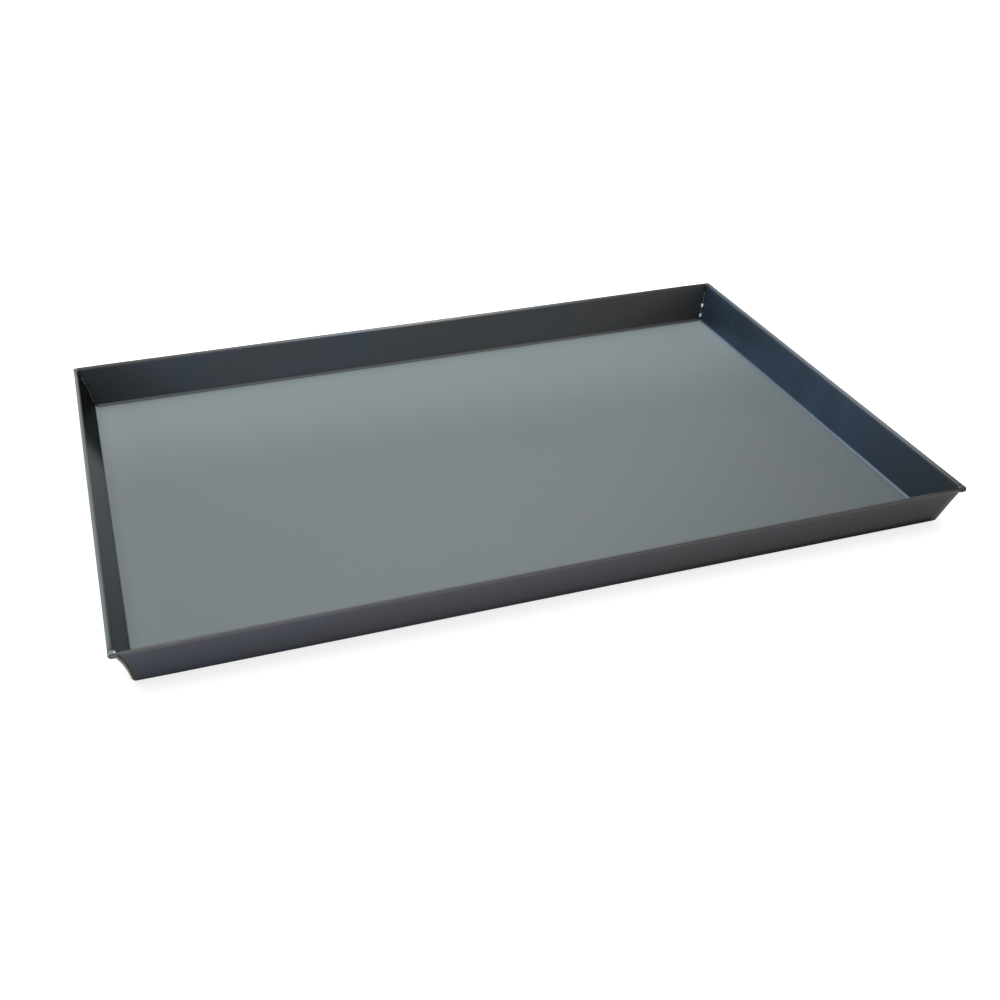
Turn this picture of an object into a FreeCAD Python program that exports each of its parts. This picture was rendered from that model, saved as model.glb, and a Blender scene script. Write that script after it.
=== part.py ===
import FreeCAD, Part
import itertools
import math
import os
import Sketcher

# A rectangular sheet pan: one folded steel sheet whose four corners are closed by weld metal.
# Millimetres. The origin is the centre of the underside of the floor, +X runs along the long
# sides, +Y across them towards the back, and +Z is up.

Vector = FreeCAD.Vector

# Driving dimensions: alias, value, meaning.
SIZES = (
    ("rim_length", 600.0, "outside length over the cut edges of the lip"),
    ("rim_width", 400.0, "outside width over the cut edges of the lip"),
    ("rim_height", 33.5, "height from the underside to the top of the lip"),
    ("sheet", 1.5, "thickness of the steel sheet"),
    ("wall_angle", 73.5, "angle between a wall and the floor, in degrees"),
    ("fold_radius", 3.5, "inside radius of the fold between the floor and a wall"),
    ("lip_radius", 2.4, "radius of the lip's bend, on its upper face"),
    ("lip_flat", 0.8, "flat width of the lip beyond its bend"),
    ("panel_inset", 20.0, "plan distance from the rim to the plain floor panel"),
    ("seam_inset", 15.6, "plan distance from the rim to the foot of a corner seam"),
    ("seam_gap", 2.4, "width of the mitred seam between two walls"),
    ("bead_radius", 2.0, "radius of the bead laid up the inside of a corner"),
    ("bead_shift", 0.7, "how far the bead's centre line stands off each wall, in plan"),
    ("bead_foot", 3.8, "height at which the centre line of the inside bead starts"),
    ("bead_head", 26.5, "height at which the centre line of the inside bead ends"),
    ("tack_radius", 1.9, "radius of the tack on the tip of the lip"),
    ("tack_inset", 1.3, "plan distance from the rim to the centre of the tack"),
    ("tack_crown", 0.5, "how far the tack stands above and below the lip"),
    ("tack_round", 0.7, "rounding of the tack's two ends"),
)

# Two pieces that meet face to face may share a rounding error, in cubic millimetres.
SHARED_VOLUME_LIMIT = 0.001

# Corner name, and which way it lies from the centre along X and along Y.
CORNERS = (
    ("front_left", -1, -1),
    ("front_right", 1, -1),
    ("back_right", 1, 1),
    ("back_left", -1, 1),
)


def make_sheet(doc):
    """Write every driving dimension into a spreadsheet cell of its own, with an alias."""
    cells = doc.addObject("Spreadsheet::Sheet", "sizes")
    for row, (alias, value, meaning) in enumerate(SIZES, start=1):
        cells.set(f"A{row}", meaning)
        cells.set(f"B{row}", str(value))
        cells.setAlias(f"B{row}", alias)
    doc.recompute()
    return cells


def origin_plane(body, role):
    """Return one of the body's own origin planes, such as XY_Plane."""
    for feature in body.Origin.OriginFeatures:
        if feature.Role == role:
            return feature
    raise RuntimeError(f"{body.Name} has no {role}")


def new_sketch(body, name, role):
    """Start a sketch on one of the body's own origin planes."""
    sketch = body.newObject("Sketcher::SketchObject", name)
    sketch.AttachmentSupport = [(origin_plane(body, role), "")]
    sketch.MapMode = "FlatFace"
    return sketch


def dimension(sketch, name, expression, *constraint):
    """Add a driving constraint and bind it to the spreadsheet."""
    index = sketch.addConstraint(Sketcher.Constraint(*constraint))
    sketch.renameConstraint(index, name)
    sketch.setExpression(f"Constraints.{name}", expression)


def draw_panel(sketch, cells):
    """Rectangle of the plain floor panel, centred on the origin."""
    half_x = cells.rim_length / 2 - cells.panel_inset
    half_y = cells.rim_width / 2 - cells.panel_inset
    corners = [
        Vector(-half_x, -half_y),
        Vector(half_x, -half_y),
        Vector(half_x, half_y),
        Vector(-half_x, half_y),
    ]
    for start, end in zip(corners, corners[1:] + corners[:1]):
        sketch.addGeometry(Part.LineSegment(start, end))
    for side in range(4):
        sketch.addConstraint(Sketcher.Constraint("Coincident", side, 2, (side + 1) % 4, 1))
        sketch.addConstraint(Sketcher.Constraint("Horizontal" if side % 2 == 0 else "Vertical", side))
    sketch.addConstraint(Sketcher.Constraint("Symmetric", 0, 1, 1, 2, -1, 1))
    panel_length = "sizes.rim_length - 2 * sizes.panel_inset"
    panel_width = "sizes.rim_width - 2 * sizes.panel_inset"
    dimension(sketch, "panel_length", panel_length, "DistanceX", 0, 1, 0, 2, 2 * half_x)
    dimension(sketch, "panel_width", panel_width, "DistanceY", 1, 1, 1, 2, 2 * half_y)


def draw_rim_path(sketch, cells):
    """Rectangle of the rim, drawn as five runs that start and end halfway along the right side."""
    half_x = cells.rim_length / 2
    half_y = cells.rim_width / 2
    points = [
        Vector(half_x, 0),
        Vector(half_x, half_y),
        Vector(-half_x, half_y),
        Vector(-half_x, -half_y),
        Vector(half_x, -half_y),
        Vector(half_x, 0),
    ]
    for start, end in zip(points, points[1:]):
        sketch.addGeometry(Part.LineSegment(start, end))
    for run in range(5):
        sketch.addConstraint(Sketcher.Constraint("Coincident", run, 2, (run + 1) % 5, 1))
        sketch.addConstraint(Sketcher.Constraint("Vertical" if run % 2 == 0 else "Horizontal", run))
    sketch.addConstraint(Sketcher.Constraint("PointOnObject", 0, 1, -1))
    sketch.addConstraint(Sketcher.Constraint("Symmetric", 0, 2, 2, 2, -1, 1))
    dimension(sketch, "path_length", "sizes.rim_length", "DistanceX", 1, 2, 1, 1, 2 * half_x)
    dimension(sketch, "path_width", "sizes.rim_width", "DistanceY", 2, 2, 2, 1, 2 * half_y)


def draw_wall_section(sketch, cells):
    """Section of one side at constant thickness: floor margin, fold, wall, bend of the lip, cut edge."""
    angle = math.radians(cells.wall_angle)
    sheet = cells.sheet
    top = cells.rim_height
    edge_x = cells.rim_length / 2
    margin_x = edge_x - cells.panel_inset
    along = Vector(math.cos(angle), math.sin(angle))
    inward = Vector(-math.sin(angle), math.cos(angle))

    lip_centre = Vector(edge_x - cells.lip_flat, top - cells.lip_radius)
    wall_top = lip_centre + inward * cells.lip_radius
    rise = wall_top.y - sheet - cells.fold_radius * (1 - math.cos(angle))
    wall_foot = wall_top - along * (rise / math.sin(angle))
    fold_centre = wall_foot + inward * cells.fold_radius
    outer_foot = wall_foot - inward * sheet
    outer_top = wall_top - inward * sheet

    def arc(centre, radius, start, end):
        circle = Part.Circle(centre, Vector(0, 0, 1), radius)
        return Part.ArcOfCircle(circle, start, end)

    fold_turn = (-math.pi / 2, angle - math.pi / 2)
    lip_turn = (math.pi / 2, angle + math.pi / 2)
    geometry = (
        Part.LineSegment(Vector(margin_x, 0), Vector(fold_centre.x, 0)),
        arc(fold_centre, cells.fold_radius + sheet, *fold_turn),
        Part.LineSegment(outer_foot, outer_top),
        arc(lip_centre, cells.lip_radius - sheet, *lip_turn),
        Part.LineSegment(Vector(lip_centre.x, top - sheet), Vector(edge_x, top - sheet)),
        Part.LineSegment(Vector(edge_x, top - sheet), Vector(edge_x, top)),
        Part.LineSegment(Vector(edge_x, top), Vector(lip_centre.x, top)),
        arc(lip_centre, cells.lip_radius, *lip_turn),
        Part.LineSegment(wall_top, wall_foot),
        arc(fold_centre, cells.fold_radius, *fold_turn),
        Part.LineSegment(Vector(fold_centre.x, sheet), Vector(margin_x, sheet)),
        Part.LineSegment(Vector(margin_x, sheet), Vector(margin_x, 0)),
    )
    for item in geometry:
        sketch.addGeometry(item)
    (underside, outer_fold, outer_wall, lip_hollow, lip_under, cut_edge,
     lip_top, lip_bend, inner_wall, inner_fold, floor_top, margin) = range(len(geometry))

    start, end, centre = 1, 2, 3
    joins = (
        ("Tangent", underside, end, outer_fold, start),
        ("Tangent", outer_fold, end, outer_wall, start),
        ("Tangent", outer_wall, end, lip_hollow, end),
        ("Tangent", lip_hollow, start, lip_under, start),
        ("Coincident", lip_under, end, cut_edge, start),
        ("Coincident", cut_edge, end, lip_top, start),
        ("Tangent", lip_top, end, lip_bend, start),
        ("Tangent", lip_bend, end, inner_wall, start),
        ("Tangent", inner_wall, end, inner_fold, end),
        ("Tangent", inner_fold, start, floor_top, start),
        ("Coincident", floor_top, end, margin, start),
        ("Coincident", margin, end, underside, start),
        ("Coincident", outer_fold, centre, inner_fold, centre),
        ("Coincident", lip_hollow, centre, lip_bend, centre),
        ("PointOnObject", underside, start, -1),
    )
    for join in joins:
        sketch.addConstraint(Sketcher.Constraint(*join))
    for level in (underside, lip_under, lip_top, floor_top):
        sketch.addConstraint(Sketcher.Constraint("Horizontal", level))
    for upright in (cut_edge, margin):
        sketch.addConstraint(Sketcher.Constraint("Vertical", upright))

    dimension(sketch, "thickness", "sizes.sheet", "DistanceY", margin, end, margin, start, sheet)
    dimension(sketch, "edge_thickness", "sizes.sheet", "DistanceY", cut_edge, start, cut_edge, end, sheet)
    dimension(sketch, "fold", "sizes.fold_radius", "Radius", inner_fold, cells.fold_radius)
    dimension(sketch, "bend", "sizes.lip_radius", "Radius", lip_bend, cells.lip_radius)
    dimension(sketch, "flat", "sizes.lip_flat", "DistanceX", lip_top, end, lip_top, start, cells.lip_flat)
    dimension(sketch, "height", "sizes.rim_height", "DistanceY", -1, 1, cut_edge, end, top)
    half_rim = "sizes.rim_length / 2"
    half_panel = "sizes.rim_length / 2 - sizes.panel_inset"
    dimension(sketch, "half_rim", half_rim, "DistanceX", -1, 1, cut_edge, end, edge_x)
    dimension(sketch, "half_panel", half_panel, "DistanceX", -1, 1, margin, end, margin_x)
    dimension(sketch, "lean", "sizes.wall_angle * 1 deg", "Angle", outer_wall, angle)


def make_folded_shell(doc, cells):
    """The sheet as it would be with closed corners: a floor panel, and one section swept round the rim."""
    body = doc.addObject("PartDesign::Body", "folded_shell")

    panel_outline = new_sketch(body, "panel_outline", "XY_Plane")
    draw_panel(panel_outline, cells)
    panel = body.newObject("PartDesign::Pad", "floor_panel")
    panel.Profile = panel_outline
    panel.setExpression("Length", "sizes.sheet")

    rim_path = new_sketch(body, "rim_path", "XY_Plane")
    draw_rim_path(rim_path, cells)
    wall_section = new_sketch(body, "wall_section", "XZ_Plane")
    draw_wall_section(wall_section, cells)
    doc.recompute()

    walls = body.newObject("PartDesign::AdditivePipe", "walls")
    walls.Profile = wall_section
    walls.Spine = (rim_path, [])
    walls.Transition = "Right corner"
    doc.recompute()
    body.Tip = walls
    return body


def rim_offset(side, length, inset):
    """Expression for a coordinate that lies an inset inside the rim, on the given side of the centre."""
    return f"{side} * (sizes.{length} / 2 - {inset})"


def bead_inset(height):
    """Expression for the plan distance from the rim to the centre line of an inside bead, at a height."""
    bend_run = "sizes.lip_radius * sin(sizes.wall_angle * 1 deg)"
    bend_drop = "sizes.lip_radius * (1 - cos(sizes.wall_angle * 1 deg))"
    fall = f"(sizes.rim_height - {bend_drop} - {height})"
    return f"(sizes.lip_flat + {bend_run} + {fall} / tan(sizes.wall_angle * 1 deg) + sizes.bead_shift)"


def place(item, side_x, side_y, inset, height):
    """Bind an object's base point to a place inside the rim, near one corner."""
    item.setExpression("Placement.Base.x", rim_offset(side_x, "rim_length", inset))
    item.setExpression("Placement.Base.y", rim_offset(side_y, "rim_width", inset))
    item.setExpression("Placement.Base.z", height)


def make_seam_slot(doc, corner, side_x, side_y):
    """Upright slab on the mitre line of a corner: the gap that the two walls leave between them."""
    slab = doc.addObject("Part::Box", f"seam_slot_{corner}")
    turn = math.degrees(math.atan2(side_y, side_x))
    slab.Placement.Rotation = FreeCAD.Rotation(Vector(0, 0, 1), turn)
    slab.setExpression("Length", "2 * sizes.seam_inset")
    slab.setExpression("Width", "sizes.seam_gap")
    slab.setExpression("Height", "sizes.rim_height + 2 * sizes.sheet")
    half_gap = "sizes.seam_gap / sqrt(8)"
    foot_x = rim_offset(side_x, "rim_length", "sizes.seam_inset")
    foot_y = rim_offset(side_y, "rim_width", "sizes.seam_inset")
    slab.setExpression("Placement.Base.x", f"{foot_x} + {side_y} * {half_gap}")
    slab.setExpression("Placement.Base.y", f"{foot_y} - {side_x} * {half_gap}")
    slab.setExpression("Placement.Base.z", "-sizes.sheet")
    return slab


def make_rim_tack(doc, corner, side_x, side_y):
    """Rounded button of weld metal on the tip of the lip."""
    button = doc.addObject("Part::Cylinder", f"tack_button_{corner}")
    button.setExpression("Radius", "sizes.tack_radius")
    button.setExpression("Height", "sizes.sheet + 2 * sizes.tack_crown")
    place(button, side_x, side_y, "sizes.tack_inset", "sizes.rim_height - sizes.sheet - sizes.tack_crown")
    doc.recompute()

    tack = doc.addObject("Part::Fillet", f"rim_tack_{corner}")
    tack.Base = button
    rounding = doc.sizes.tack_round
    rims = [
        number
        for number, edge in enumerate(button.Shape.Edges, start=1)
        if isinstance(edge.Curve, Part.Circle)
    ]
    tack.Edges = [(number, rounding, rounding) for number in rims]
    return tack


def make_inner_bead(doc, corner, side_x, side_y, shell):
    """Round-ended rod along the inside of a corner, less the sheet that it lies against."""
    lean_axis = Vector(-side_y, side_x, 0)
    lean = "atan(sqrt(2) / tan(sizes.wall_angle * 1 deg))"
    travel = "(sizes.bead_head - sizes.bead_foot)"

    rod = doc.addObject("Part::Cylinder", f"bead_rod_{corner}")
    rod.setExpression("Radius", "sizes.bead_radius")
    rod.setExpression("Height", f"{travel} / cos({lean})")
    place(rod, side_x, side_y, bead_inset("sizes.bead_foot"), "sizes.bead_foot")
    rod.Placement.Rotation = FreeCAD.Rotation(lean_axis, 1)
    rod.setExpression("Placement.Rotation.Angle", lean)

    parts = [rod]
    for end, height in (("foot", "sizes.bead_foot"), ("head", "sizes.bead_head")):
        ball = doc.addObject("Part::Sphere", f"bead_{end}_{corner}")
        ball.setExpression("Radius", "sizes.bead_radius")
        place(ball, side_x, side_y, bead_inset(height), height)
        parts.append(ball)

    whole = doc.addObject("Part::MultiFuse", f"bead_whole_{corner}")
    whole.Shapes = parts
    bead = doc.addObject("Part::Cut", f"inner_bead_{corner}")
    bead.Base = whole
    bead.Tool = shell
    return bead


def make_seam_weld(doc, corner, shell, slot, tack):
    """Weld metal in the seam: what the slot takes out of the sheet, short of the tack."""
    filling = doc.addObject("Part::MultiCommon", f"seam_filling_{corner}")
    filling.Shapes = [shell, slot]
    weld = doc.addObject("Part::Cut", f"seam_weld_{corner}")
    weld.Base = filling
    weld.Tool = tack
    return weld


def make_tray_sheet(doc, shell, slots, tacks):
    """The folded sheet itself, with its open seams and its notched lip corners."""
    openings = doc.addObject("Part::MultiFuse", "corner_openings")
    openings.Shapes = slots + tacks
    tray_sheet = doc.addObject("Part::Cut", "tray_sheet")
    tray_sheet.Base = shell
    tray_sheet.Tool = openings
    return tray_sheet


def check_document(doc, nodes):
    """Stop if any object failed to compute, or any piece is not one valid solid."""
    for item in doc.Objects:
        if "Invalid" in item.State or "Error" in item.State:
            raise RuntimeError(f"{item.Name} did not compute: {item.State}")
    for node in nodes:
        shape = node.Shape
        if shape.isNull() or not shape.isValid() or len(shape.Solids) != 1:
            raise RuntimeError(f"{node.Label} is not one valid solid")


def report(nodes):
    """Print each piece's volume and size, and any volume that two pieces share."""
    for node in nodes:
        box = node.Shape.BoundBox
        size = f"{box.XLength:.1f} x {box.YLength:.1f} x {box.ZLength:.1f} mm"
        print(f"{node.Label:24s} {node.Shape.Volume:10.1f} mm3  {size}")
    for first, second in itertools.combinations(nodes, 2):
        shared = first.Shape.common(second.Shape).Volume
        if shared > SHARED_VOLUME_LIMIT:
            print(f"{first.Label} and {second.Label} share {shared:.4f} mm3")


def main():
    doc = FreeCAD.newDocument("sheet_pan")
    cells = make_sheet(doc)
    shell = make_folded_shell(doc, cells)

    slots = []
    tacks = []
    welds = []
    for corner, side_x, side_y in CORNERS:
        slot = make_seam_slot(doc, corner, side_x, side_y)
        tack = make_rim_tack(doc, corner, side_x, side_y)
        slots.append(slot)
        tacks.append(tack)
        welds.append(make_seam_weld(doc, corner, shell, slot, tack))
        welds.append(make_inner_bead(doc, corner, side_x, side_y, shell))

    nodes = [make_tray_sheet(doc, shell, slots, tacks)] + welds + tacks
    doc.recompute()
    check_document(doc, nodes)

    os.makedirs("parts", exist_ok=True)
    for node in nodes:
        node.Shape.exportStep(f"parts/{node.Label}.step")
    report(nodes)


main()
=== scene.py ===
import math

import bpy
from mathutils import Matrix, Vector, noise


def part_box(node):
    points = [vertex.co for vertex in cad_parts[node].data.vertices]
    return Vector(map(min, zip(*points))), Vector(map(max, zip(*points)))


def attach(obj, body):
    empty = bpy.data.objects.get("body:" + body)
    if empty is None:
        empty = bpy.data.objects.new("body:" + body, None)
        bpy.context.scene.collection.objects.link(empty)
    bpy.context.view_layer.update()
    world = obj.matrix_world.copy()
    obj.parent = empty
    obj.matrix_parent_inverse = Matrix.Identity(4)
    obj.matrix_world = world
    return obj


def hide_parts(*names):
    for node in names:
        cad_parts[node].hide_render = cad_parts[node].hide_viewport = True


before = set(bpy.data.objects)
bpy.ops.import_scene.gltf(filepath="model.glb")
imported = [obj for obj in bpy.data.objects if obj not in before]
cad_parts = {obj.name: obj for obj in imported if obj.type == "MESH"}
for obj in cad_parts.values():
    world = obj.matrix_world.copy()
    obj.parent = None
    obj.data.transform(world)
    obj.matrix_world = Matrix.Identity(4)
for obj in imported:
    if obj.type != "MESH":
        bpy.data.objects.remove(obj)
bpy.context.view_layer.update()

# ---------------------------------------------------------------- driving dimensions (metres)

MM = 0.001
SHEET = 1.5 * MM
WALL_ANGLE = math.radians(73.5)
# The fold is tighter than the CAD one (3.5 mm inside). It was picked for its outline and shading.
FOLD_RADIUS = 2.3 * MM
LIP_RADIUS = 2.8 * MM
LIP_FLAT = 0.5 * MM
ROLL_REACH = 0.3 * MM
ROLL_DROP = 0.3 * MM
BURR_ROUND = 0.25 * MM
SEAM_GAP = 0.12 * MM
LOWEST = 0.03 * MM

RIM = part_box("tray_sheet")[1]
HALF = {"x": RIM.x, "y": RIM.y}
RIM_HEIGHT = RIM.z

# Each wall, anticlockwise from the right. out and along: plan directions out of it and along it.
# blue: how blue the heat has turned it, at its start and at its end. fold: from where to where up the
# fold the pale floor gives way to the dark wall; below 0 is still on the floor. rim: how pale the lip
# is, which is painted light set per wall for how each lip catches the light, how narrow its pale line
# is, and how dark it is painted away from its middle, as painted shade.
WALLS = {
    "right": {
        "out": Vector((1, 0, 0)),
        "along": Vector((0, 1, 0)),
        "blue": (0.65, 1.0),
        "fold": (-1.0 * MM, 2.4 * MM),
        "rim": (0.8, 1.3, 0.3),
    },
    "back": {
        "out": Vector((0, 1, 0)),
        "along": Vector((-1, 0, 0)),
        "blue": (0.0, 0.5),
        "fold": (-2.2 * MM, 0.6 * MM),
        "rim": (0.25, 3.0, 0.97),
    },
    "left": {
        "out": Vector((-1, 0, 0)),
        "along": Vector((0, -1, 0)),
        "blue": (0.1, 0.2),
        "fold": (0.8 * MM, 2.5 * MM),
        "rim": (1.0, 0.7, 0.0),
    },
    "front": {
        "out": Vector((0, -1, 0)),
        "along": Vector((1, 0, 0)),
        "blue": (0.8, 0.0),
        "fold": (0.0 * MM, 2.3 * MM),
        "rim": (0.5, 1.0, 0.25),
    },
}

# Each corner: the wall that ends there, the wall that starts there, and how the welder left it.
# pull: how far the seam has drawn the walls in. bulge: how full the outside weld is (1 is a sharp
# corner). lump: size of the dollops of the inside bead. bright: where up the inside bead highlights are
# painted on as bright colour, as shares of its length. tack: half sizes of the button on the rim, how
# far it stays inside the CAD tack, and how clean its metal is. specks: where highlights are painted on
# that
# button, from the middle of it. tip: how much the lips are cut back there, how sooty they are, and how
# far along. The rest are pairs, for the two walls. cut_back: how much shorter the wall is cut, at its
# top. groove: depth of the undercut beside the weld. smoke: how dark the wall is painted beside
# the weld, partly heat tint and partly painted shade copying dark reflections, how far along it, how
# much further that is at the top, and how sudden its edge is (2 is soft).
CORNERS = {
    "back_right": {
        "walls": ("right", "back"),
        "pull": 0.2 * MM,
        "bulge": 0.8,
        "lump": 0.12,
        "bright": (0.13, 0.50),
        "tack": (Vector((2.2, 2.2, 1.8)) * MM, 0.25 * MM, 0.1),
        "specks": (),
        "tip": (0.9 * MM, 0.3, 12 * MM),
        "cut_back": (0.0, 0.0),
        "groove": (0.1 * MM, 0.1 * MM),
        "smoke": ((0.0, 40 * MM, 0.0, 2), (0.5, 62 * MM, -1.2, 2)),
    },
    "back_left": {
        "walls": ("back", "left"),
        "pull": 0.4 * MM,
        "bulge": 0.7,
        "lump": 0.13,
        "bright": (),
        "tack": (Vector((2.2, 2.2, 1.8)) * MM, 0.25 * MM, 0.1),
        "specks": (),
        "tip": (0.9 * MM, 0.5, 8 * MM),
        "cut_back": (0.0, 0.0),
        "groove": (0.1 * MM, 0.1 * MM),
        "smoke": ((0.75, 66 * MM, -0.6, 2), (0.88, 118 * MM, 0.3, 10)),
    },
    "front_left": {
        "walls": ("left", "front"),
        "pull": 1.3 * MM,
        "bulge": 0.5,
        "lump": 0.13,
        "bright": (),
        "tack": (Vector((3.0, 2.6, 2.3)) * MM, 0.3 * MM, 0.1),
        "specks": (Vector((-0.6, -0.45, 0.6)), Vector((0.4, -0.35, 0.8))),
        "tip": (1.4 * MM, 0.6, 9 * MM),
        "cut_back": (0.0, 2.6 * MM),
        "groove": (0.1 * MM, 1.0 * MM),
        "smoke": ((0.33, 105 * MM, 0.0, 2), (0.0, 30 * MM, 0.0, 2)),
    },
    "front_right": {
        "walls": ("front", "right"),
        "pull": 0.1 * MM,
        "bulge": 0.85,
        "lump": 0.13,
        "bright": (),
        "tack": (Vector((3.2, 2.6, 2.1)) * MM, 0.0, 0.0),
        "specks": (),
        "tip": (1.6 * MM, 0.75, 34 * MM),
        "cut_back": (0.0, 0.0),
        "groove": (0.06 * MM, 0.06 * MM),
        "smoke": ((0.0, 30 * MM, 0.0, 2), (0.5, 75 * MM, 0.0, 2)),
    },
}

# Noise: where each kind's seeds start, what keeps one seed's noise apart from another's, and what
# brings it to between about -1 and 1.
FIRST_SEED = {"wander": 1, "bow": 20, "seam": 40, "bead": 60, "tack": 80}
SEED_STEP = 7.31
NOISE_GAIN = 1.8
# How far along a wall its corner weld has drawn it in, and the height and length of its own waves.
PULL_REACH = 14 * MM
BOW_HEIGHT = 0.22 * MM
BOW_LENGTH = 0.16
# The wavy edges of the seams: a seed, a height in mm and a length for the long and the short waves,
# and over what lengths they fade in at the bottom and out at the top.
WANDER_WAVES = ((0, 0.22, 3.1 * MM), (9, 0.1, 1.1 * MM))
WANDER_FADE = (4 * MM, 3 * MM)
# How far the top of the back wall rises near its ends. It follows the outline in the photograph, and
# may make up for the camera rather than be a real shape.
WAVE_HEIGHT = 0.25 * MM
WAVE_LENGTH = 520 * MM
WAVE_FADE = 25 * MM
# The floor: how far from flat, how wide its high and low patches are, the noise's seed, its mean and
# least lift, and how suddenly it comes down to the folds.
SAG_HEIGHT = 0.35 * MM
SAG_PATCH = (0.19, 0.15)
SAG_SEED = 3.3
SAG_MEAN = 0.6
SAG_LEAST = 0.1
SAG_POWER = 4
# Painted shade in the back fold, and how wide it is. The lip's soot and painted shade come in this much
# faster than its bend.
BACK_CREASE_SHADE = 0.9
CREASE_WIDTH = 0.2
LIP_DARK_GAIN = 3
# How far from a lip's middle its painted shade is lifted, and how pale the underside is.
PALE_MIDDLE = 130 * MM
UNDER_FLAT = 0.5
# Edges that turn by more than this are shaded sharp.
SHARP_ANGLE = math.radians(40)


# ---------------------------------------------------------------- the section of a wall

def section_lengths():
    """Developed length of the fold, of the flat wall and of the lip's bend, on the inner face."""
    fold = FOLD_RADIUS * WALL_ANGLE
    bends = (FOLD_RADIUS + LIP_RADIUS) * (1 - math.cos(WALL_ANGLE))
    wall = (RIM_HEIGHT - SHEET - bends) / math.sin(WALL_ANGLE)
    return fold, wall, LIP_RADIUS * WALL_ANGLE


FOLD, WALL, BEND = section_lengths()
LIP_END = FOLD + WALL + BEND + LIP_FLAT


def section(distance):
    """Inset from the rim, height and slope of the inner face, at a distance from the flat floor."""
    lip_x = LIP_FLAT
    lip_z = RIM_HEIGHT - LIP_RADIUS
    if distance > FOLD + WALL + BEND:
        return LIP_END - distance, RIM_HEIGHT, 0.0
    if distance > FOLD + WALL:
        slope = WALL_ANGLE - (distance - FOLD - WALL) / LIP_RADIUS
        return lip_x + LIP_RADIUS * math.sin(slope), lip_z + LIP_RADIUS * math.cos(slope), slope
    top_x = lip_x + LIP_RADIUS * math.sin(WALL_ANGLE)
    top_z = lip_z + LIP_RADIUS * math.cos(WALL_ANGLE)
    if distance > FOLD:
        left = FOLD + WALL - distance
        return top_x + left * math.cos(WALL_ANGLE), top_z - left * math.sin(WALL_ANGLE), WALL_ANGLE
    foot_x = top_x + WALL * math.cos(WALL_ANGLE)
    slope = max(distance, 0.0) / FOLD_RADIUS
    centre_x = foot_x + FOLD_RADIUS * math.sin(WALL_ANGLE)
    return centre_x - FOLD_RADIUS * math.sin(slope), SHEET + FOLD_RADIUS * (1 - math.cos(slope)), slope


FLOOR_INSET = section(0.0)[0]


def half_along(wall):
    """Half the rim's length along a wall."""
    return HALF["y"] if wall in ("right", "left") else HALF["x"]


def half_across(wall):
    """Distance from the centre to the rim, across a wall."""
    return HALF["x"] if wall in ("right", "left") else HALF["y"]


def corner_at(wall, end):
    """Name of the corner at the far (+1) or near (-1) end of a wall."""
    for name, corner in CORNERS.items():
        if corner["walls"][0 if end > 0 else 1] == wall:
            return name
    raise ValueError(wall)


def wave(seed, place, pitch):
    """Smooth repeatable noise between about -1 and 1 along a line."""
    return noise.noise(Vector((place / pitch, seed * SEED_STEP, 0.5))) * NOISE_GAIN


def seam_wander(corner, distance):
    """How far the cut end of a wall strays from a straight line: the edge of the weld is wavy."""
    seed = list(CORNERS).index(corner) + FIRST_SEED["wander"]
    fade_in, fade_out = WANDER_FADE
    fade = min(1.0, distance / fade_in) * min(1.0, max(0.0, LIP_END - distance) / fade_out)
    strays = [height * wave(seed + shift, distance, length) for shift, height, length in WANDER_WAVES]
    return fade * sum(strays) * MM


def height_share(distance):
    """How far up the wall a distance is, from 0 at the floor to 1 at the lip's bend."""
    return min(1.0, max(0.0, distance / (FOLD + WALL)))


def lip_share(distance):
    """How far round the lip's bend a distance is, from 0 on the wall to 1 on the flat of the lip."""
    return min(1.0, max(0.0, distance - FOLD - WALL) / BEND)


def weld_pull(corner, distance):
    """How far a corner's weld has drawn the walls in: most at mid height."""
    return CORNERS[corner]["pull"] * math.sin(math.pi * height_share(distance))


def wall_end(wall, end, distance):
    """Distance along a wall, from its middle, to its cut end."""
    corner = corner_at(wall, end)
    cut_back = CORNERS[corner]["cut_back"][CORNERS[corner]["walls"].index(wall)]
    inset, _, slope = section(distance)
    short = SEAM_GAP * min(1.0, distance / FOLD) + cut_back * height_share(distance)
    short += weld_pull(corner, distance) * math.sin(slope)
    short += CORNERS[corner]["tip"][0] * lip_share(distance)
    return half_along(wall) - inset - short - abs(seam_wander(corner, distance))


def bow(wall, along, distance):
    """How far a wall lies inside its true plane: gentle waves, and the pull of the corner welds."""
    seed = list(WALLS).index(wall) + FIRST_SEED["bow"]
    soft = BOW_HEIGHT * height_share(distance) * wave(seed, along, BOW_LENGTH)
    for end in (-1, 1):
        corner = corner_at(wall, end)
        away = half_along(wall) - section(distance)[0] - end * along
        soft += weld_pull(corner, distance) * math.exp(-((away / PULL_REACH) ** 2))
    return soft


def lip_soot_and_shade(wall, along):
    """How dark a wall's lip is painted, from 0 to 1: soot beside the welds, and painted shade away from
    its middle.
    """
    clear = 1 - WALLS[wall]["rim"][2] * (1 - math.exp(-((along / PALE_MIDDLE) ** 2)))
    for end in (-1, 1):
        _, share, reach = CORNERS[corner_at(wall, end)]["tip"]
        clear *= 1 - share * math.exp(-(((half_along(wall) - end * along) / reach) ** 2))
    return 1 - clear


def rim_wave(wall, along, distance):
    """How far a wall's top is above its true height: the back one rises a little near its ends."""
    if wall != "back":
        return 0.0
    rise = 0.5 - 0.5 * math.cos(2 * math.pi * along / WAVE_LENGTH)
    fade = min(1.0, max(0.0, half_along(wall) - abs(along)) / WAVE_FADE)
    return WAVE_HEIGHT * rise * fade * height_share(distance) ** 2


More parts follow.
